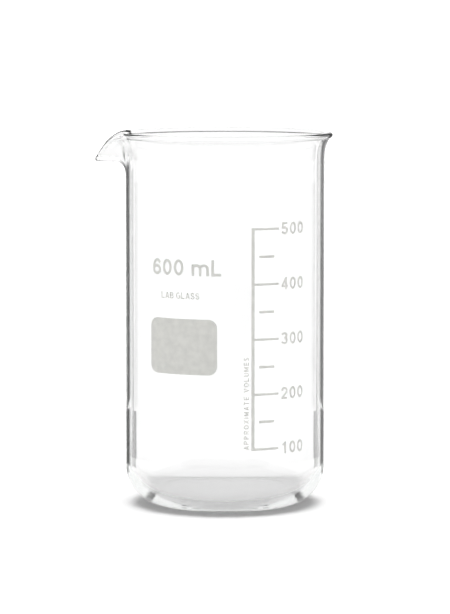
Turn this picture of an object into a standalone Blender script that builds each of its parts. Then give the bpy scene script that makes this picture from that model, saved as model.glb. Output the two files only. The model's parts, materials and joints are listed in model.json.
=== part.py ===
"""A 600 mL tall-form laboratory beaker with a pouring spout and a fired enamel scale.

Units are metres and +Z is up. The origin is the centre of the flat base, on the beaker's axis.
The spout points along -X. The print faces -Y, and its places across the wall are arc lengths
along the outer wall, measured from the line that faces -Y and positive towards +X.
"""

import math

import bmesh
import bpy
from mathutils import Matrix, Vector
from mathutils.geometry import delaunay_2d_cdt

# Blown glass body
BODY_DIAMETER = 0.080
HEIGHT = 0.150
WALL = 0.0017
FLOOR = 0.0035
CORNER_RADIUS = 0.015
LIP_STANDOUT = 0.0029
LIP_BEAD = 0.0024
LIP_ANGLE = math.radians(36)
FLARE_BEND = 0.0098
BEND_EASE = 1.5
DROP_EASE = 2
SEGMENTS = 72
BEND_STEPS = 7
CORNER_STEPS = 6
LIP_STEPS = 8

# Pouring spout
SPOUT_STANDOUT = 0.0121
SPOUT_DROP = 0.010
SPOUT_WIDTH = 0.034
SPOUT_ANGLE = math.radians(88)
SPOUT_BEND = 0.0085
SPOUT_STRAIGHT = 0.0077

# Enamel print: lines and marks
GAP = 0.0003
PRINT = 0.0002
MARKED = (100, 200, 300, 400, 500)
HALF_STEP = 50
LINE_ARC = 0.0111
LINE_WIDTH = 0.0013
MAJOR_WIDTH = 0.0009
MAJOR_LENGTH = 0.0104
MINOR_WIDTH = 0.0010
MINOR_LENGTH = 0.0065
MINOR_SPACE = 0.0019

# Enamel print: characters and the patch
NUMERAL_HEIGHT = 0.0048
NUMERAL_SPACE = 0.0011
NUMERAL_CLEAR = 0.0013
CAPACITY_ARC = -0.0164
CAPACITY_BASE = 0.0955
CAPACITY_HEIGHT = 0.0064
CAPACITY_SPACE = 0.0009
CAPACITY_WORD_SPACE = 0.0024
NOTE_ARC = -0.0185
NOTE_DROP = 0.0066
NOTE_HEIGHT = 0.0026
NOTE_SPACE = 0.0003
NOTE_WORD_SPACE = 0.0008
CAPTION_CLEAR = 0.0010
CAPTION_HEIGHT = 0.0021
CAPTION_SPACE = 0.0006
CAPTION_WORD_SPACE = 0.0012
PATCH_ARC = -0.0178
PATCH_DROP = 0.0078
PATCH_WIDTH = 0.0295
PATCH_HEIGHT = 0.0220
PATCH_RADIUS = 0.0035

# Drawing of the characters, in shares of their height, and the fineness of the print
STROKE = 0.175
FIGURE_WIDTH = 0.64
ARC_STEP = 24
FACET = 0.003
MERGE = 1e-5
INSIDE_ONLY = 1
CUBIC_METRES_PER_MILLILITRE = 1e-6

# Values that follow from the sizes above
OUTER = BODY_DIAMETER / 2
INNER = OUTER - WALL
MIDDLE = OUTER - WALL / 2
INNER_CORNER = CORNER_RADIUS - WALL
SPOUT_HALF_ANGLE = math.asin(SPOUT_WIDTH / 2 / (MIDDLE + LIP_STANDOUT + LIP_BEAD / 2))
LINE_LEFT = LINE_ARC - LINE_WIDTH / 2
LINE_RIGHT = LINE_ARC + LINE_WIDTH / 2
NOTE_BASE = CAPACITY_BASE - NOTE_DROP - NOTE_HEIGHT
PATCH_TOP = NOTE_BASE - PATCH_DROP


def clear_scene():
    for old in list(bpy.data.objects):
        bpy.data.objects.remove(old)


def material(name, color, roughness, transmission=0.0):
    made = bpy.data.materials.new(name)
    made.use_nodes = True
    shader = made.node_tree.nodes["Principled BSDF"]
    shader.inputs["Base Color"].default_value = (*color, 1.0)
    shader.inputs["Roughness"].default_value = roughness
    shader.inputs["Metallic"].default_value = 0.0
    shader.inputs["Transmission Weight"].default_value = transmission
    shader.inputs["IOR"].default_value = 1.474
    return made


def finished(name, bm, look):
    """Turn a bmesh into a named object with its material."""
    mesh = bpy.data.meshes.new(name)
    bm.to_mesh(mesh)
    bm.free()
    mesh.shade_smooth()
    mesh.set_sharp_from_angle(angle=math.radians(35))
    mesh.materials.append(look)
    made = bpy.data.objects.new(name, mesh)
    bpy.context.collection.objects.link(made)
    return made


def mix(plain, spout, share):
    return plain + (spout - plain) * share


def spout_share(angle):
    """How far the wall at this angle about the axis has been pulled into the spout, 0 to 1."""
    from_spout = abs(abs(angle) - math.pi)
    if from_spout >= SPOUT_HALF_ANGLE:
        return 0.0
    return math.cos(math.pi / 2 * from_spout / SPOUT_HALF_ANGLE) ** 2


def lip_bead(share):
    """Radius of the lip's bead, which thins out in the spout, and its reach down to the wall."""
    radius = mix(LIP_BEAD, WALL, share) / 2
    return radius, math.sqrt(radius ** 2 - (WALL / 2) ** 2)


def bent_wall(share):
    """Points (radius, height) up the middle of the wall, and last the middle of the lip's bead.

    The lean grows slowly at first and faster towards its end, and the spout then runs straight.
    """
    lean_end = mix(LIP_ANGLE, SPOUT_ANGLE, share)
    bend = mix(FLARE_BEND, SPOUT_BEND, share)
    step = (bend + SPOUT_STRAIGHT * share) / BEND_STEPS
    run = rise = 0.0
    curve = [(run, rise)]
    for index in range(BEND_STEPS):
        lean = lean_end * min((index + 0.5) * step / bend, 1.0) ** BEND_EASE
        run += step * math.sin(lean)
        rise += step * math.cos(lean)
        curve.append((run, rise))
    bead, reach = lip_bead(share)
    run += reach * math.sin(lean_end)
    rise += reach * math.cos(lean_end)
    curve.append((run, rise))
    fit = mix(LIP_STANDOUT, SPOUT_STANDOUT, share) / run
    start = HEIGHT - SPOUT_DROP * share ** DROP_EASE - bead - rise
    return [(MIDDLE + fit * across, start + up) for across, up in curve]


def rounded_corner(radius, outer, bottom):
    """Quarter round from the flat at the bottom up to the upright wall."""
    points = []
    for step in range(CORNER_STEPS + 1):
        turn = math.pi / 2 * step / CORNER_STEPS
        points.append((outer - radius + radius * math.sin(turn), bottom + radius * (1 - math.cos(turn))))
    return points


def glass_profile(share):
    """Half section of the glass, from the middle of the underside round to the inside floor."""
    *wall, (bead_radius, bead_height) = bent_wall(share)
    lean = 0.0
    outside = []
    inside = []
    for index, (radius, height) in enumerate(wall):
        if index:
            lean = math.atan2(radius - wall[index - 1][0], height - wall[index - 1][1])
        outside.append((radius + WALL / 2 * math.cos(lean), height - WALL / 2 * math.sin(lean)))
        inside.append((radius - WALL / 2 * math.cos(lean), height + WALL / 2 * math.sin(lean)))
    bead, reach = lip_bead(share)
    back = math.atan2(reach, WALL / 2)
    lip = []
    for step in range(1, LIP_STEPS):
        turn = -back + (math.pi + 2 * back) * step / LIP_STEPS - lean
        lip.append((bead_radius + bead * math.cos(turn), bead_height + bead * math.sin(turn)))
    plain_wall_top = bent_wall(1.0)[0][1] - WALL
    points = [(0.0, 0.0)]
    points += rounded_corner(CORNER_RADIUS, OUTER, 0.0)
    points += [(OUTER, plain_wall_top)]
    points += outside + lip + inside[::-1]
    points += [(INNER, plain_wall_top)]
    points += reversed(rounded_corner(INNER_CORNER, INNER, FLOOR))
    points += [(0.0, FLOOR)]
    return points


def beaker_glass(look):
    """Spin the plain section round the axis, then pull the wall at -X out into the spout."""
    bm = bmesh.new()
    number = bm.verts.layers.int.new("profile_point")
    section = []
    for index, (radius, height) in enumerate(glass_profile(0.0)):
        vert = bm.verts.new((radius, 0.0, height))
        vert[number] = index
        section.append(vert)
    edges = [bm.edges.new(pair) for pair in zip(section, section[1:])]
    bmesh.ops.spin(
        bm, geom=section + edges, cent=(0, 0, 0), axis=(0, 0, 1),
        angle=2 * math.pi, steps=SEGMENTS, use_merge=True,
    )
    for vert in bm.verts:
        angle = math.atan2(vert.co.y, vert.co.x)
        share = spout_share(angle)
        if share > 0.0 and vert.co.xy.length > GAP:
            radius, height = glass_profile(share)[vert[number]]
            vert.co = (radius * math.cos(angle), radius * math.sin(angle), height)
    bmesh.ops.remove_doubles(bm, verts=bm.verts, dist=1e-6)
    bmesh.ops.recalc_face_normals(bm, faces=bm.faces)
    return finished("beaker_glass", bm, look)


def level_of(millilitres):
    """Height of the liquid's surface above the base for a volume poured in."""
    area = math.pi * INNER ** 2
    corner_area = (1 - math.pi / 4) * INNER_CORNER ** 2
    corner_middle = INNER - INNER_CORNER * (10 - 3 * math.pi) / (12 - 3 * math.pi)
    taken_by_corner = corner_area * 2 * math.pi * corner_middle
    return FLOOR + (millilitres * CUBIC_METRES_PER_MILLILITRE + taken_by_corner) / area


def wrapped(name, art, look):
    """Cut flat artwork into narrow strips, give it thickness and roll it round the wall."""
    across = [vert.co.x for vert in art.verts]
    first = math.ceil(min(across) / FACET)
    last = math.floor(max(across) / FACET)
    for strip in range(first, last + 1):
        bmesh.ops.bisect_plane(
            art, geom=art.verts[:] + art.edges[:] + art.faces[:], dist=MERGE,
            plane_co=(strip * FACET, 0, 0), plane_no=(1, 0, 0),
        )
    bmesh.ops.remove_doubles(art, verts=art.verts, dist=MERGE)
    raised = bmesh.ops.extrude_face_region(art, geom=art.faces[:], use_keep_orig=True)
    moved = [item for item in raised["geom"] if isinstance(item, bmesh.types.BMVert)]
    bmesh.ops.translate(art, verts=moved, vec=(0, 0, PRINT))
    for vert in art.verts:
        angle = vert.co.x / OUTER
        radius = OUTER + GAP + vert.co.z
        vert.co = (radius * math.sin(angle), -radius * math.cos(angle), vert.co.y)
    bmesh.ops.triangulate(art, faces=art.faces[:])
    bmesh.ops.recalc_face_normals(art, faces=art.faces)
    return finished(name, art, look)


def flat_art(patches):
    """Merge overlapping flat patches, each a list of (x, y) corners, into one sheet of triangles."""
    corners = []
    outlines = []
    for patch in patches:
        outlines.append(list(range(len(corners), len(corners) + len(patch))))
        corners += [Vector(corner) for corner in patch]
    points, _, triangles, _, _, sources = delaunay_2d_cdt(corners, [], outlines, INSIDE_ONLY, MERGE)
    bm = bmesh.new()
    verts = [bm.verts.new((point.x, point.y, 0)) for point in points]
    for triangle, covered_by in zip(triangles, sources):
        if covered_by:
            bm.faces.new([verts[index] for index in triangle])
    loose = [vert for vert in verts if not vert.link_faces]
    bmesh.ops.delete(bm, geom=loose, context="VERTS")
    return bm


def bar(left, right, bottom, top):
    return [(left, bottom), (right, bottom), (right, top), (left, top)]


def scale_ladder(look):
    """The upright line and the long mark at each hundred, printed as one figure."""
    half = MAJOR_WIDTH / 2
    levels = [level_of(marked) for marked in MARKED]
    patches = [bar(LINE_LEFT, LINE_RIGHT, levels[0] - half, levels[-1] + half)]
    patches += [bar(LINE_LEFT, LINE_RIGHT + MAJOR_LENGTH, level - half, level + half) for level in levels]
    return wrapped("scale_ladder", flat_art(patches), look)


def half_marks(look):
    """The short marks half way between the hundreds."""
    left = LINE_RIGHT + MINOR_SPACE
    half = MINOR_WIDTH / 2
    for marked in MARKED[1:]:
        volume = marked - HALF_STEP
        level = level_of(volume)
        art = flat_art([bar(left, left + MINOR_LENGTH, level - half, level + half)])
        wrapped(f"half_mark_{volume}", art, look)


def arc(middle_x, middle_y, across, up, first, last):
    """Points on an ellipse between two angles in degrees, for the round part of a stroke."""
    steps = max(2, round(abs(last - first) / ARC_STEP))
    turns = [math.radians(first + (last - first) * step / steps) for step in range(steps + 1)]
    return [(middle_x + across * math.cos(turn), middle_y + up * math.sin(turn)) for turn in turns]


def strokes_of(character):
    """Centre lines of a plain upright character whose capital height is 1."""
    low = STROKE / 2
    high = 1 - STROKE / 2
    stem = [(low, 0), (low, 1)]
    if character == "0":
        return [arc(0.32, 0.5, 0.25, high - 0.5, 0, 360)]
    if character == "1":
        return [[(0.40, 0), (0.40, 1)], [(0.14, 0.75), (0.27, 0.79), (0.40, 0.93)]]
    if character == "2":
        return [arc(0.32, 0.68, 0.24, high - 0.68, 175, -30) + [(0.09, 0.10)], [(0.03, low), (0.59, low)]]
    if character == "3":
        return [arc(0.31, 0.72, 0.22, high - 0.72, 165, -90), arc(0.31, 0.29, 0.25, 0.29 - low, 90, -165)]
    if character == "4":
        return [[(0.46, 0), (0.46, 1)], [(0.44, 0.92), (0.07, 0.31)], [(0.02, 0.27), (0.64, 0.27)]]
    if character == "5":
        return [[(0.57, high), (0.15, high)], [(0.17, 0.98), (0.11, 0.47)],
                arc(0.31, 0.33, 0.26, 0.33 - low, 135, -160)]
    if character == "6":
        return [arc(0.32, 0.32, 0.25, 0.32 - low, 0, 360), arc(0.35, 0.46, 0.28, high - 0.46, 35, 200)]
    if character == "m":
        arches = [arc(middle, 0.47, 0.235, 0.18, 180, 0) + [(middle + 0.235, 0)] for middle in (0.305, 0.775)]
        return [[(low, 0), (low, 0.72)]] + arches
    if character == "L":
        return [stem, [(0.0, low), (0.62, low)]]
    if character == "A":
        return [[(0.05, 0), (0.33, 0.97)], [(0.61, 0), (0.33, 0.97)], [(0.14, 0.30), (0.52, 0.30)]]
    if character == "B":
        upper = [(low, high)] + arc(0.32, 0.72, 0.20, high - 0.72, 90, -90) + [(low, 0.51)]
        lower = [(low, 0.51)] + arc(0.34, 0.29, 0.23, 0.29 - low, 90, -90) + [(low, low)]
        return [stem, upper, lower]
    if character == "G":
        return [arc(0.36, 0.5, 0.29, high - 0.5, 45, 330), [(0.61, 0.12), (0.61, 0.50)],
                [(0.38, 0.46), (0.68, 0.46)]]
    if character == "P":
        return [stem, [(low, high)] + arc(0.36, 0.70, 0.22, high - 0.70, 90, -90) + [(low, 0.47)]]
    if character == "R":
        return strokes_of("P") + [[(0.34, 0.48), (0.58, 0)]]
    if character == "O":
        return [arc(0.37, 0.5, 0.30, high - 0.5, 0, 360)]
    if character == "X":
        return [[(0.05, 0), (0.59, 1)], [(0.59, 0), (0.05, 1)]]
    if character == "I":
        return [stem]
    if character == "M":
        return [stem, [(0.72, 0), (0.72, 1)], [(low, 0.95), (0.395, 0.12)], [(0.72, 0.95), (0.395, 0.12)]]
    if character == "T":
        return [[(0.0, high), (0.62, high)], [(0.31, 0), (0.31, high)]]
    if character == "E":
        return [stem] + [[(0.0, level), (0.58, level)] for level in (low, 0.5, high)]
    if character == "V":
        return [[(0.04, 1), (0.32, 0.03)], [(0.60, 1), (0.32, 0.03)]]
    if character == "U":
        return [[(low, 1), (low, 0.32)] + arc(0.32, 0.32, 0.25, 0.32 - low, 180, 360) + [(0.57, 1)]]
    return [arc(0.31, 0.72, 0.22, high - 0.72, 15, 270) + arc(0.31, 0.28, 0.24, 0.28 - low, 90, -165)]


def stroke_patches(path):
    """Give a centre line its width: one four-sided patch between each point and the next."""
    points = [Vector(point) for point in path]
    points = [point for point, before in zip(points, [None] + points) if before is None or point != before]
    closed = (points[0] - points[-1]).length < MERGE
    sides = []
    for index, point in enumerate(points):
        before = points[index - 1] if index or not closed else points[-2]
        after = points[(index + 1) % len(points)] if index + 1 < len(points) or not closed else points[1]
        if not closed and index == 0:
            before = point - (after - point)
        if not closed and index == len(points) - 1:
            after = point + (point - before)
        first = (point - before).normalized()
        second = (after - point).normalized()
        across = Vector((-first.y - second.y, first.x + second.x)).normalized()
        reach = STROKE / 2 / max(across.dot(Vector((-first.y, first.x))), 0.5)
        sides.append((point + across * reach, point - across * reach))
    return [[a, b, d, c] for (a, b), (c, d) in zip(sides, sides[1:])]


def character_patches(character):
    return [patch for path in strokes_of(character) for patch in stroke_patches(path)]


def ink_edges(patches):
    """Left and right ends of a character, in shares of its height."""
    across = [corner[0] for patch in patches for corner in patch]
    return min(across), max(across)


def set_character(name, patches, height, place, look, turn=0.0):
    """Print one character with the left end of its base line at (arc, height above the base)."""
    art = flat_art(patches)
    move = Matrix.Translation((*place, 0)) @ Matrix.Rotation(turn, 4, "Z") @ Matrix.Scale(height, 4)
    bmesh.ops.transform(art, matrix=move, verts=art.verts)
    wrapped(name, art, look)


def numerals(look):
    """Three figures beside each long mark, centred on its height."""
    pitch = FIGURE_WIDTH * NUMERAL_HEIGHT + NUMERAL_SPACE
    left = LINE_RIGHT + MAJOR_LENGTH + NUMERAL_CLEAR
    for marked in MARKED:
        base = level_of(marked) - NUMERAL_HEIGHT / 2
        for place, character in enumerate(str(marked)):
            name = f"numeral_{marked}_figure_{place + 1}"
            patches = character_patches(character)
            set_character(name, patches, NUMERAL_HEIGHT, (left + place * pitch, base), look)


def lettering(prefix, words, height, space, word_space):
    """Lay out words from 0 along their base line: (name, patches, offset) of each, and the length."""
    laid = []
    along = 0.0
    for character in words:
        if character == " ":
            along += word_space
            continue
        patches = character_patches(character)
        first, last = ink_edges(patches)
        laid.append((f"{prefix}_{len(laid) + 1:02d}_{character}", patches, along - first * height))
        along += (last - first) * height + space
    return laid, along - space


def capacity_and_note(look):
    """Two level lines of lettering, each centred on its own place round the wall."""
    capacity = lettering("capacity", "600 mL", CAPACITY_HEIGHT, CAPACITY_SPACE, CAPACITY_WORD_SPACE)
    note = lettering("note", "LAB GLASS", NOTE_HEIGHT, NOTE_SPACE, NOTE_WORD_SPACE)
    for (laid, length), height, middle, base in (
        (capacity, CAPACITY_HEIGHT, CAPACITY_ARC, CAPACITY_BASE),
        (note, NOTE_HEIGHT, NOTE_ARC, NOTE_BASE),
    ):
        for name, patches, offset in laid:
            set_character(name, patches, height, (middle - length / 2 + offset, base), look)


def caption(look):
    """Small lettering that reads upwards along the left of the scale, from the lowest mark."""
    bottom = level_of(MARKED[0])
    laid, _ = lettering("caption", "APPROXIMATE VOLUMES", CAPTION_HEIGHT, CAPTION_SPACE, CAPTION_WORD_SPACE)
    for name, patches, offset in laid:
        place = (LINE_LEFT - CAPTION_CLEAR, bottom + offset)
        set_character(name, patches, CAPTION_HEIGHT, place, look, turn=math.pi / 2)


def writing_patch(look):
    """A rounded field of matt enamel to write on with a pencil."""
    left = PATCH_ARC - PATCH_WIDTH / 2
    bm = flat_art([bar(left, left + PATCH_WIDTH, PATCH_TOP - PATCH_HEIGHT, PATCH_TOP)])
    bmesh.ops.dissolve_faces(bm, faces=bm.faces[:])
    bmesh.ops.bevel(
        bm, geom=bm.verts[:], offset=PATCH_RADIUS, segments=5, profile=0.5, affect="VERTICES", material=-1,
    )
    return wrapped("writing_patch", bm, look)


def main():
    clear_scene()
    glass = material("borosilicate_glass", (0.93, 0.95, 0.94), 0.02, transmission=1.0)
    enamel = material("fired_enamel", (0.55, 0.55, 0.52), 0.55)
    beaker_glass(glass)
    scale_ladder(enamel)
    half_marks(enamel)
    numerals(enamel)
    capacity_and_note(enamel)
    caption(enamel)
    writing_patch(enamel)


main()
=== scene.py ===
# %% [markdown]
# # A tall laboratory beaker
#
# The real object is one piece of blown borosilicate glass: a flat base, a rounded corner, a
# straight wall, a rim that flares out, and a spout pulled out of the rim while it was hot.
# A pale grey enamel print is fired onto the outside of the wall.
#
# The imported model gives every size. This lesson makes a finer surface of the same shape for
# the glass, lays a thin print onto it, and gives both their finish.

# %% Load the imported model
import json
import math

import bmesh
import bpy
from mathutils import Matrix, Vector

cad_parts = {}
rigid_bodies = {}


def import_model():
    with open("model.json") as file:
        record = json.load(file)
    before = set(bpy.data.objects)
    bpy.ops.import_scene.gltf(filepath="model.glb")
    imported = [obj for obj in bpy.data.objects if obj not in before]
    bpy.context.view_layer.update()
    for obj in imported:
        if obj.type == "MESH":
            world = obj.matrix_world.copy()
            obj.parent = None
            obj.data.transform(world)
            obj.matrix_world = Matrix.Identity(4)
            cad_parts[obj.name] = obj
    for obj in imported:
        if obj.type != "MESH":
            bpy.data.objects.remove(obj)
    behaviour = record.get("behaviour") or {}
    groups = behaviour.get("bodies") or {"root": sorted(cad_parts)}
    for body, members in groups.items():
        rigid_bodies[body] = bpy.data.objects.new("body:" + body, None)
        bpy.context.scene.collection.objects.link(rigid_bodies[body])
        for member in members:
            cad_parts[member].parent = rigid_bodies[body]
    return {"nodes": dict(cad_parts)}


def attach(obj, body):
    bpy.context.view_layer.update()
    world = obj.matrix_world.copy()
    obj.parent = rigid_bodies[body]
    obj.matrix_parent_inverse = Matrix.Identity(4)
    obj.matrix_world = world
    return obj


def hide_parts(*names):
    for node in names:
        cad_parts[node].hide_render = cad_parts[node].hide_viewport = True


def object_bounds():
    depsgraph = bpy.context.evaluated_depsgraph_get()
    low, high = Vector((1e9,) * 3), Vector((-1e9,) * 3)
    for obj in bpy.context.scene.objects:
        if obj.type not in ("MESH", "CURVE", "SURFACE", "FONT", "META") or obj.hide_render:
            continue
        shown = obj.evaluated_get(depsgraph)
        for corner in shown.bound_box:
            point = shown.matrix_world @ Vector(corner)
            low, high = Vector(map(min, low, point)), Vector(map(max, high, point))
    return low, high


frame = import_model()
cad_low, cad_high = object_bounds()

scene = bpy.context.scene

# %% [markdown]
# ## Measuring the frame
#
# A beaker is described by a handful of sizes. They could be typed in again, but then two
# files would have to agree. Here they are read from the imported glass: the widest point of the
# lower wall is the body radius, the narrowest point higher up is the inside radius, and the
# innermost points are the rims of two flats, the underside and the inside floor.

# %% Read the beaker's sizes from its node
glass_points = [vertex.co for vertex in frame["nodes"]["beaker_glass"].data.vertices]
TINY = 1e-5
HEIGHT = cad_high.z
OUTER = max(point.xy.length for point in glass_points if point.z < HEIGHT / 3)
INNER = min(point.xy.length for point in glass_points if point.z > HEIGHT / 3)
FLAT = min(point.xy.length for point in glass_points)
FLOOR = max(point.z for point in glass_points if point.xy.length < FLAT + TINY)
CORNER_RADIUS = min(point.z for point in glass_points if point.xy.length > OUTER - TINY)
WALL = OUTER - INNER
MIDDLE = OUTER - WALL / 2
print(f"body {OUTER * 2000:.1f} mm across, {HEIGHT * 1000:.1f} mm high, wall {WALL * 1000:.2f} mm")
print(f"inside floor at {FLOOR * 1000:.2f} mm, corner radius {CORNER_RADIUS * 1000:.1f} mm")

# %% [markdown]
# ## The section of the glass
#
# A glassblower softens the rim in the flame and leans a tool against the inside, so the wall
# leaves its upright line slowly and then leans out. The flame also rounds the lip into a bead
# a little thicker than the wall. The spout bends on until it is almost level, and a straight
# run follows. One function covers both, because the glass passes smoothly from one to the
# other: `share` is 0 on the plain rim and 1 in the middle of the spout.

# %% The bend of the rim and of the spout
LIP_STANDOUT = 0.0029
LIP_BEAD = 0.0024
LIP_ANGLE = math.radians(36)
FLARE_BEND = 0.0098
SPOUT_STANDOUT = 0.0121
SPOUT_DROP = 0.010
SPOUT_WIDTH = 0.034
SPOUT_ANGLE = math.radians(88)
SPOUT_BEND = 0.0085
SPOUT_STRAIGHT = 0.0077
BEND_EASE = 1.5
DROP_EASE = 2
BEND_STEPS = 48

SPOUT_HALF_ANGLE = math.asin(SPOUT_WIDTH / 2 / (MIDDLE + LIP_STANDOUT + LIP_BEAD / 2))


def mix(plain, spout, share):
    return plain + (spout - plain) * share


def spout_share(angle):
    """How far the wall at this angle about the axis is pulled into the spout, 0 to 1."""
    from_spout = abs(abs(angle) - math.pi)
    if from_spout >= SPOUT_HALF_ANGLE:
        return 0.0
    return math.cos(math.pi / 2 * from_spout / SPOUT_HALF_ANGLE) ** 2


def lip_bead(share):
    """Radius of the lip's bead, which thins out in the spout, and its reach down to the wall."""
    radius = mix(LIP_BEAD, WALL, share) / 2
    return radius, math.sqrt(radius ** 2 - (WALL / 2) ** 2)


def bent_wall(share):
    """Points (radius, height) up the middle of the wall, and last the middle of the lip's bead.

    The lean grows slowly at first and faster towards its end, and the spout then runs straight.
    """
    lean_end = mix(LIP_ANGLE, SPOUT_ANGLE, share)
    bend = mix(FLARE_BEND, SPOUT_BEND, share)
    step = (bend + SPOUT_STRAIGHT * share) / BEND_STEPS
    run = rise = 0.0
    curve = [(run, rise)]
    for index in range(BEND_STEPS):
        lean = lean_end * min((index + 0.5) * step / bend, 1.0) ** BEND_EASE
        run += step * math.sin(lean)
        rise += step * math.cos(lean)
        curve.append((run, rise))
    bead, reach = lip_bead(share)
    run += reach * math.sin(lean_end)
    rise += reach * math.cos(lean_end)
    curve.append((run, rise))
    fit = mix(LIP_STANDOUT, SPOUT_STANDOUT, share) / run
    start = HEIGHT - SPOUT_DROP * share ** DROP_EASE - bead - rise
    return [(MIDDLE + fit * across, start + up) for across, up in curve]


for place, share in (("flare", 0.0), ("spout", 1.0)):
    print(f"the {place} starts {bent_wall(share)[0][1] * 1000:.1f} mm up")

# %% The whole section, from the middle of the underside to the inside floor
CORNER_STEPS = 20
LIP_STEPS = 28


def rounded_corner(radius, outer, bottom):
    """Quarter round from the flat at the bottom up to the upright wall."""
    points = []
    for step in range(CORNER_STEPS + 1):
        turn = math.pi / 2 * step / CORNER_STEPS
        points.append((outer - radius + radius * math.sin(turn), bottom + radius * (1 - math.cos(turn))))
    return points


def glass_section(share):
    """Half section of the glass, from the middle of the underside round to the inside floor."""
    *wall, (bead_radius, bead_height) = bent_wall(share)
    lean = 0.0
    outside = []
    inside = []
    for index, (radius, height) in enumerate(wall):
        if index:
            lean = math.atan2(radius - wall[index - 1][0], height - wall[index - 1][1])
        outside.append((radius + WALL / 2 * math.cos(lean), height - WALL / 2 * math.sin(lean)))
        inside.append((radius - WALL / 2 * math.cos(lean), height + WALL / 2 * math.sin(lean)))
    bead, reach = lip_bead(share)
    back = math.atan2(reach, WALL / 2)
    lip = []
    for step in range(1, LIP_STEPS):
        turn = -back + (math.pi + 2 * back) * step / LIP_STEPS - lean
        lip.append((bead_radius + bead * math.cos(turn), bead_height + bead * math.sin(turn)))
    plain_wall_top = bent_wall(1.0)[0][1] - WALL
    points = [(0.0, 0.0)] + rounded_corner(CORNER_RADIUS, OUTER, 0.0)
    points += [(OUTER, plain_wall_top)] + outside + lip + inside[::-1] + [(INNER, plain_wall_top)]
    points += reversed(rounded_corner(CORNER_RADIUS - WALL, INNER, FLOOR))
    return points + [(0.0, FLOOR)]


print(f"the section has {len(glass_section(0.0))} points")

# %% [markdown]
# ## Turning the glass
#
# A body of revolution is a spin: the section is drawn once as a line of vertices and turned
# about the axis. A spin can't make the spout, so each vertex also carries the number of its
# place on the section. The vertices near the spout are then moved to the same place on the
# section that belongs to their own angle, which is what the tool does to the soft rim.

# %% Spin the section and pull the spout
SEGMENTS = 320
NEAR_AXIS = 0.0003
WELD = 1e-6


def turned_glass():
    bm = bmesh.new()
    place = bm.verts.layers.int.new("place_on_section")
    line = []
    for index, (radius, height) in enumerate(glass_section(0.0)):
        vertex = bm.verts.new((radius, 0.0, height))
        vertex[place] = index
        line.append(vertex)
    edges = [bm.edges.new(pair) for pair in zip(line, line[1:])]
    bmesh.ops.spin(
        bm, geom=line + edges, cent=(0, 0, 0), axis=(0, 0, 1),
        angle=2 * math.pi, steps=SEGMENTS, use_merge=True,
    )
    for vertex in bm.verts:
        angle = math.atan2(vertex.co.y, vertex.co.x)
        share = spout_share(angle)
        if share > 0.0 and vertex.co.xy.length > NEAR_AXIS:
            radius, height = glass_section(share)[vertex[place]]
            vertex.co = (radius * math.cos(angle), radius * math.sin(angle), height)
    bmesh.ops.remove_doubles(bm, verts=bm.verts, dist=WELD)
    bmesh.ops.recalc_face_normals(bm, faces=bm.faces)
    return bm


def finished(name, bm, look):
    """Make a piece of a bmesh, with its material, riding on the beaker's one body."""
    mesh = bpy.data.meshes.new(name)
    bm.to_mesh(mesh)
    bm.free()
    mesh.shade_smooth()
    mesh.materials.append(look)
    piece = bpy.data.objects.new(name, mesh)
    scene.collection.objects.link(piece)
    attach(piece, "root")
    return piece


# %% [markdown]
# ## Clear glass
#
# Borosilicate glass bends light by an index of 1.474 and takes away very little of it, with a
# grey-green cast that only shows where light runs a long way inside the wall. The cast is an
# absorption inside the volume, not a colour on the surface. Blown glass is never quite flat,
# so a slow bump lets the reflections drift a little.

# %% The glass material
def node(tree, kind, **settings):
    made = tree.nodes.new(kind)
    for name, value in settings.items():
        setattr(made, name, value)
    return made


MASK_EDGES = (0.35, 0.65)


def slow_surface_group():
    """Values that drift slowly over a blown or fired surface: a height and a mask."""
    group = bpy.data.node_groups.new("slow_surface", "ShaderNodeTree")
    group.interface.new_socket(name="Vector", in_out="INPUT", socket_type="NodeSocketVector")
    group.interface.new_socket(name="Scale", in_out="INPUT", socket_type="NodeSocketFloat")
    group.interface.new_socket(name="Detail", in_out="INPUT", socket_type="NodeSocketFloat")
    group.interface.new_socket(name="Height", in_out="OUTPUT", socket_type="NodeSocketFloat")
    group.interface.new_socket(name="Mask", in_out="OUTPUT", socket_type="NodeSocketFloat")
    inside = node(group, "NodeGroupInput")
    outside = node(group, "NodeGroupOutput")
    noise = node(group, "ShaderNodeTexNoise")
    group.links.new(inside.outputs["Vector"], noise.inputs["Vector"])
    group.links.new(inside.outputs["Scale"], noise.inputs["Scale"])
    group.links.new(inside.outputs["Detail"], noise.inputs["Detail"])
    contrast = node(group, "ShaderNodeMapRange")
    contrast.inputs["From Min"].default_value = MASK_EDGES[0]
    contrast.inputs["From Max"].default_value = MASK_EDGES[1]
    group.links.new(noise.outputs["Fac"], contrast.inputs["Value"])
    group.links.new(noise.outputs["Fac"], outside.inputs["Height"])
    group.links.new(contrast.outputs["Result"], outside.inputs["Mask"])
    return group


SLOW_SURFACE = slow_surface_group()


def slow_surface(tree, stretch, scale, detail):
    """Place the group in a material, reading the piece's own coordinates."""
    coordinates = node(tree, "ShaderNodeTexCoord")
    mapping = node(tree, "ShaderNodeMapping")
    mapping.inputs["Scale"].default_value = stretch
    group = node(tree, "ShaderNodeGroup", node_tree=SLOW_SURFACE)
    group.inputs["Scale"].default_value = scale
    group.inputs["Detail"].default_value = detail
    tree.links.new(coordinates.outputs["Object"], mapping.inputs["Vector"])
    tree.links.new(mapping.outputs["Vector"], group.inputs["Vector"])
    return group


GLASS_BEND = 1.474
GLASS_TINT = (0.80, 0.86, 0.83, 1.0)
GLASS_ABSORPTION = 3.0
WAVE_STRETCH = (1.0, 1.0, 0.35)
WAVE_SCALE = 42.0
WAVE_DETAIL = 1.0
WAVE_HEIGHT = 0.00004


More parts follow.
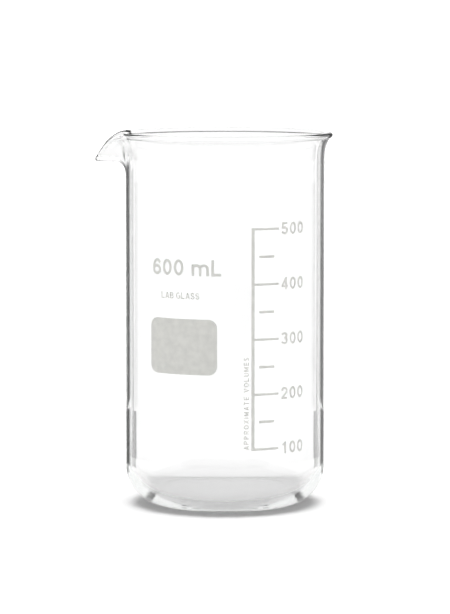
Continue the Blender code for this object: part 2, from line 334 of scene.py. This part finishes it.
def clear_glass():
    made = bpy.data.materials.new("borosilicate_glass")
    made.use_nodes = True
    tree = made.node_tree
    shader = tree.nodes["Principled BSDF"]
    shader.inputs["Base Color"].default_value = (1.0, 1.0, 1.0, 1.0)
    shader.inputs["Transmission Weight"].default_value = 1.0
    shader.inputs["Roughness"].default_value = 0.0
    shader.inputs["IOR"].default_value = GLASS_BEND
    wave = slow_surface(tree, WAVE_STRETCH, WAVE_SCALE, WAVE_DETAIL)
    bump = node(tree, "ShaderNodeBump")
    bump.inputs["Distance"].default_value = WAVE_HEIGHT
    bump.inputs["Strength"].default_value = 1.0
    tree.links.new(wave.outputs["Height"], bump.inputs["Height"])
    tree.links.new(bump.outputs["Normal"], shader.inputs["Normal"])
    depth = node(tree, "ShaderNodeVolumeAbsorption")
    depth.inputs["Color"].default_value = GLASS_TINT
    depth.inputs["Density"].default_value = GLASS_ABSORPTION
    tree.links.new(depth.outputs["Volume"], tree.nodes["Material Output"].inputs["Volume"])
    return made


# %% Make the glass piece
glass = finished("clear_glass_body", turned_glass(), clear_glass())
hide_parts("beaker_glass")
print(f"the glass has {len(glass.data.vertices)} vertices and {len(glass.data.polygons)} faces")

# %% [markdown]
# ## The enamel print
#
# The print is a ceramic paste pushed through a screen and fired, so it is a film only a few
# hundredths of a millimetre thick, with a dull, slightly grainy face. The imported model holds
# every figure with its right outline and place, but thicker than the real film and a hair
# clear of the wall. So each figure is unrolled flat, its outer sheet is cut into narrow
# strips that can bend, raised to the film's real thickness, and rolled onto the wall again.

# %% Unroll, refine and roll one printed figure
CLEAR_OF_GLASS = 0.00001
FILM = 0.00004
STRIP = 0.0009
SHARP_EDGE = math.radians(35)


def unrolled(cad_node):
    """The outer sheet of a printed figure, laid flat: x is the arc round the wall, y the height."""
    bm = bmesh.new()
    bm.from_mesh(cad_node.data)
    bmesh.ops.remove_doubles(bm, verts=bm.verts, dist=WELD)
    furthest = max(vertex.co.xy.length for vertex in bm.verts)
    under = [vertex for vertex in bm.verts if vertex.co.xy.length < furthest - CLEAR_OF_GLASS]
    bmesh.ops.delete(bm, geom=under, context="VERTS")
    for vertex in bm.verts:
        arc = OUTER * math.atan2(vertex.co.x, -vertex.co.y)
        vertex.co = (arc, vertex.co.z, 0.0)
    return bm


def cut_in_strips(bm):
    across = [vertex.co.x for vertex in bm.verts]
    for strip in range(math.ceil(min(across) / STRIP), math.floor(max(across) / STRIP) + 1):
        bmesh.ops.bisect_plane(
            bm, geom=bm.verts[:] + bm.edges[:] + bm.faces[:], dist=WELD,
            plane_co=(strip * STRIP, 0, 0), plane_no=(1, 0, 0),
        )


def rolled_film(cad_node):
    bm = unrolled(cad_node)
    cut_in_strips(bm)
    raised = bmesh.ops.extrude_face_region(bm, geom=bm.faces[:], use_keep_orig=True)
    lifted = [item for item in raised["geom"] if isinstance(item, bmesh.types.BMVert)]
    bmesh.ops.translate(bm, verts=lifted, vec=(0, 0, FILM))
    bmesh.ops.recalc_face_normals(bm, faces=bm.faces)
    for vertex in bm.verts:
        angle = vertex.co.x / OUTER
        radius = OUTER + CLEAR_OF_GLASS + vertex.co.z
        vertex.co = (radius * math.sin(angle), -radius * math.cos(angle), vertex.co.y)
    bmesh.ops.recalc_face_normals(bm, faces=bm.faces)
    return bm


# %% [markdown]
# ## Fired enamel
#
# The enamel is a warm pale grey. Under a lens it is a crust of fine grains, a little thicker
# here and there, so its colour is mottled and its gloss is low and uneven. A fine noise gives
# the grain and the slow one gives the patches.

# %% The enamel material
ENAMEL_PALE = (0.87, 0.87, 0.83, 1.0)
ENAMEL_DARK = (0.79, 0.79, 0.755, 1.0)
ENAMEL_BEND = 1.5
ENAMEL_ROUGHNESS = (0.48, 0.66)
EVEN = (1.0, 1.0, 1.0)
PATCH_SCALE = 350.0
PATCH_DETAIL = 3.0
GRAIN_SCALE = 4000.0
GRAIN_DETAIL = 2.0
GRAIN_HEIGHT = 0.00002
GRAIN_STRENGTH = 0.6


def fired_enamel():
    made = bpy.data.materials.new("fired_enamel")
    made.use_nodes = True
    tree = made.node_tree
    shader = tree.nodes["Principled BSDF"]
    shader.inputs["IOR"].default_value = ENAMEL_BEND
    drift = slow_surface(tree, EVEN, PATCH_SCALE, PATCH_DETAIL)
    colour = node(tree, "ShaderNodeMix", data_type="RGBA")
    colour.inputs["A"].default_value = ENAMEL_DARK
    colour.inputs["B"].default_value = ENAMEL_PALE
    tree.links.new(drift.outputs["Mask"], colour.inputs["Factor"])
    tree.links.new(colour.outputs["Result"], shader.inputs["Base Color"])
    gloss = node(tree, "ShaderNodeMapRange")
    gloss.inputs["To Min"].default_value = ENAMEL_ROUGHNESS[0]
    gloss.inputs["To Max"].default_value = ENAMEL_ROUGHNESS[1]
    tree.links.new(drift.outputs["Mask"], gloss.inputs["Value"])
    tree.links.new(gloss.outputs["Result"], shader.inputs["Roughness"])
    grain = slow_surface(tree, EVEN, GRAIN_SCALE, GRAIN_DETAIL)
    bump = node(tree, "ShaderNodeBump")
    bump.inputs["Distance"].default_value = GRAIN_HEIGHT
    bump.inputs["Strength"].default_value = GRAIN_STRENGTH
    tree.links.new(grain.outputs["Height"], bump.inputs["Height"])
    tree.links.new(bump.outputs["Normal"], shader.inputs["Normal"])
    return made


# %% Print every figure
enamel = fired_enamel()
printed = [name for name in frame["nodes"] if name != "beaker_glass"]
for name in printed:
    film = finished(f"fired_{name}", rolled_film(frame["nodes"][name]), enamel)
    film.data.set_sharp_from_angle(angle=SHARP_EDGE)
    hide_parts(name)
print(f"{len(printed)} figures printed")

# %% [markdown]
# ## The studio
#
# The beaker stands on a pale floor under a white sky. Nearly all the light that reaches the
# floor comes from straight above, which keeps the shadow close to the base. The eye and the
# glass see an even white instead, so no bright spot hangs over the beaker. The glass sees the
# floor a darker white with a painted glow on it, which the eye doesn't see, so the floor and
# its shadow seen through the thick base stay light and the base stays clear.

# %% Floor and sky
FLOOR_SIZE = 120.0
FLOOR_GAP = 0.0001
FLOOR_SEEN = 0.98
FLOOR_IN_GLASS = 0.43
FLOOR_PAINTED_GLOW = 0.42
SKY_SEEN = 1.0
SKY_LOW = 0.22
SKY_HIGH = 7.2
LIGHT_EDGES = (math.radians(34), math.radians(12))


def pale_floor():
    """The floor, just below the glass. The eye sees it matt, and the glass sees it with a painted glow as
    well.
    """
    bm = bmesh.new()
    bmesh.ops.create_grid(bm, x_segments=1, y_segments=1, size=FLOOR_SIZE)
    bmesh.ops.translate(bm, verts=bm.verts, vec=(0, 0, -FLOOR_GAP))
    mesh = bpy.data.meshes.new("pale_floor")
    bm.to_mesh(mesh)
    bm.free()
    look = bpy.data.materials.new("pale_floor")
    look.use_nodes = True
    tree = look.node_tree
    shader = tree.nodes["Principled BSDF"]
    # The camera sees the matt white. Every other ray sees a darker white with a painted glow, which
    # lightens the floor and its shadow in the glass.
    path = node(tree, "ShaderNodeLightPath")
    white = node(tree, "ShaderNodeMapRange")
    white.inputs["To Min"].default_value = FLOOR_IN_GLASS
    white.inputs["To Max"].default_value = FLOOR_SEEN
    tree.links.new(path.outputs["Is Camera Ray"], white.inputs["Value"])
    tree.links.new(white.outputs["Result"], shader.inputs["Base Color"])
    glow = node(tree, "ShaderNodeMapRange")
    glow.inputs["To Min"].default_value = FLOOR_PAINTED_GLOW
    glow.inputs["To Max"].default_value = 0.0
    tree.links.new(path.outputs["Is Camera Ray"], glow.inputs["Value"])
    tree.links.new(glow.outputs["Result"], shader.inputs["Emission Strength"])
    shader.inputs["Emission Color"].default_value = (1.0, 1.0, 1.0, 1.0)
    shader.inputs["Roughness"].default_value = 1.0
    shader.inputs["Specular IOR Level"].default_value = 0.0
    mesh.materials.append(look)
    laid = bpy.data.objects.new("pale_floor", mesh)
    scene.collection.objects.link(laid)


def after_a_diffuse_bounce(tree, before, after):
    """Give one value to what the eye and the glass see, and another to what lights the floor."""
    path = node(tree, "ShaderNodeLightPath")
    choice = node(tree, "ShaderNodeMix", data_type="FLOAT", clamp_factor=True)
    tree.links.new(path.outputs["Diffuse Depth"], choice.inputs["Factor"])
    for socket, value in (("A", before), ("B", after)):
        if isinstance(value, float):
            choice.inputs[socket].default_value = value
        else:
            tree.links.new(value, choice.inputs[socket])
    return choice.outputs["Result"]


def white_sky():
    world = bpy.data.worlds.new("white_sky")
    world.use_nodes = True
    tree = world.node_tree
    coordinates = node(tree, "ShaderNodeTexCoord")
    direction = node(tree, "ShaderNodeSeparateXYZ")
    from_above = node(tree, "ShaderNodeMapRange", interpolation_type="SMOOTHSTEP")
    from_above.inputs["From Min"].default_value = math.cos(LIGHT_EDGES[0])
    from_above.inputs["From Max"].default_value = math.cos(LIGHT_EDGES[1])
    from_above.inputs["To Min"].default_value = SKY_LOW
    from_above.inputs["To Max"].default_value = SKY_HIGH
    tree.links.new(coordinates.outputs["Generated"], direction.inputs["Vector"])
    tree.links.new(direction.outputs["Z"], from_above.inputs["Value"])
    strength = after_a_diffuse_bounce(tree, SKY_SEEN, from_above.outputs["Result"])
    tree.links.new(strength, tree.nodes["Background"].inputs["Strength"])
    tree.nodes["Background"].inputs["Color"].default_value = (1.0, 1.0, 1.0, 1.0)
    return world


pale_floor()
scene.world = white_sky()
scene.view_settings.view_transform = "Standard"
print(f"the light from above is {SKY_HIGH / SKY_LOW:.0f} times as strong as the light from the side")

# %% [markdown]
# Light goes round and round inside a glass wall before it comes out. Each path is followed
# through more bounces than usual, because a path that is cut short turns black, and the
# corners and the lip would be full of false dark marks.

# %% Let light find its way out of the glass
GLASS_BOUNCES = 32
scene.cycles.max_bounces = GLASS_BOUNCES
scene.cycles.transmission_bounces = GLASS_BOUNCES
scene.cycles.glossy_bounces = GLASS_BOUNCES

# %% [markdown]
# ## Cards that draw the glass
#
# Clear glass shows only what it bends and mirrors, so lighting it means placing what it sees.
# The two edges of the wall bend the view sideways by some 13 to 33 degrees. A dark card in
# that direction behind each edge, a flag, draws the outline, and a low one near the foot draws
# the rest of it. Grey curtains beside and in front, and mats on the floor before them, are
# mirrored in the wall and keep it from washing out. A dark card overhead draws the lip.
#
# The cards are seen in the glass and by nothing else. A flag would also stand in the clear
# part of the glass from another side, so it turns white to a ray that meets it at a slant.

# %% Make a card
HEAD_ON = (0.20, 0.27)


def only_head_on(tree, tone):
    """The tone for a ray that meets the card nearly square, and the sky's white for a slanting one."""
    slant = node(tree, "ShaderNodeLayerWeight")
    fade = node(tree, "ShaderNodeMapRange")
    fade.inputs["From Min"].default_value = HEAD_ON[0]
    fade.inputs["From Max"].default_value = HEAD_ON[1]
    fade.inputs["To Min"].default_value = tone
    fade.inputs["To Max"].default_value = SKY_SEEN
    tree.links.new(slant.outputs["Facing"], fade.inputs["Value"])
    return fade.outputs["Result"]


def card(name, tone, corners, mirrored=False, head_on=False):
    """A flat card that only the glass sees, mirrored in it alone or seen through it as well."""
    bm = bmesh.new()
    bm.faces.new([bm.verts.new(corner) for corner in corners])
    mesh = bpy.data.meshes.new(name)
    bm.to_mesh(mesh)
    bm.free()
    look = bpy.data.materials.new(name)
    look.use_nodes = True
    tree = look.node_tree
    tree.nodes.remove(tree.nodes["Principled BSDF"])
    glow = node(tree, "ShaderNodeEmission")
    before = only_head_on(tree, tone) if head_on else tone
    tree.links.new(after_a_diffuse_bounce(tree, before, SKY_SEEN), glow.inputs["Strength"])
    tree.links.new(glow.outputs["Emission"], tree.nodes["Material Output"].inputs["Surface"])
    look.cycles.emission_sampling = "NONE"
    mesh.materials.append(look)
    placed = bpy.data.objects.new(name, mesh)
    scene.collection.objects.link(placed)
    placed.visible_camera = False
    placed.visible_diffuse = False
    placed.visible_shadow = False
    placed.visible_transmission = not mirrored


def standing(name, tone, ends, bottom, top, **seen):
    """A card that stands upright between two places on the floor."""
    (x0, y0), (x1, y1) = ends
    card(name, tone, [(x0, y0, bottom), (x1, y1, bottom), (x1, y1, top), (x0, y0, top)], **seen)


def around(distance, degrees):
    """A place on the floor, by its direction counted from the camera's side over the right."""
    turn = math.radians(degrees)
    return (distance * math.sin(turn), -distance * math.cos(turn))


def beside_edge(side, depth, degrees):
    """A place behind one edge of the wall, on a line that leaves the edge at this angle."""
    return (side * (OUTER + depth * math.tan(math.radians(degrees))), depth)


# %% Flags behind the two edges
FLAG_TONES = (("left", -1, 0.12), ("right", 1, 0.20))
LOW_FLAG = {"depth": 0.05, "start": 5.0, "end": 33.0, "height": 0.03}
TALL_FLAG = {"depth": 0.25, "start": 11.0, "end": 32.0, "height": 0.50}

for name, side, tone in FLAG_TONES:
    for number, flag in enumerate((LOW_FLAG, TALL_FLAG)):
        ends = [beside_edge(side, flag["depth"], flag[bound]) for bound in ("start", "end")]
        standing(f"flag_{name}_{number}", tone, ends, 0.0, flag["height"], head_on=True)

# %% Curtains and mats around, and a ceiling
CURTAINS = (("front", -44, 44, 0.0), ("left", -69, -128, 1.2), ("right", 62, 128, 1.2))
CURTAIN_TONE = 0.25
CURTAIN_NEAR = 0.13
CURTAIN_FAR = 2.0
CURTAIN_TOP = 2.5
CURTAIN_PARTS = 4
MAT_LIFT = 0.002
CEILING_TONE = 0.05
CEILING_HALF = 2.1
CEILING_UP = 1.6

for name, start, end, bottom in CURTAINS:
    for part in range(CURTAIN_PARTS):
        bounds = [start + (end - start) * (part + step) / CURTAIN_PARTS for step in (0, 1)]
        far_ends = [around(CURTAIN_FAR, degrees) for degrees in bounds]
        standing(f"curtain_{name}_{part}", CURTAIN_TONE, far_ends, bottom, CURTAIN_TOP, mirrored=True)
        mat = [around(CURTAIN_NEAR, degrees) for degrees in bounds] + far_ends[::-1]
        card(f"mat_{name}_{part}", CURTAIN_TONE, [(x, y, MAT_LIFT) for x, y in mat], mirrored=True)
around_middle = ((-1, -1), (1, -1), (1, 1), (-1, 1))
card("ceiling", CEILING_TONE, [(x * CEILING_HALF, y * CEILING_HALF, CEILING_UP) for x, y in around_middle])
kinds = ("flag", "curtain", "mat", "ceiling")
cards = [thing.name for thing in scene.objects if thing.name.startswith(kinds)]
print(f"{len(cards)} cards stand in the studio")

# %% [markdown]
# ## The camera
#
# A long lens a good metre away looks slightly down, so the rim and the base are thin ellipses
# and the beaker's sides stay nearly parallel.

# %% Set up the camera
CAMERA_BACK = 1.25
CAMERA_UP = 0.2115
CAMERA_DOWN = math.radians(6.035)
LENS = 182.73
SENSOR_WIDTH = 36.0
SIGHT = 500.0

camera = bpy.data.objects.new("camera", bpy.data.cameras.new("camera"))
camera.location = (0.0, -CAMERA_BACK, CAMERA_UP)
camera.rotation_euler = (math.pi / 2 - CAMERA_DOWN, 0.0, 0.0)
camera.data.lens = LENS
camera.data.sensor_width = SENSOR_WIDTH
camera.data.clip_end = SIGHT
scene.collection.objects.link(camera)
scene.camera = camera
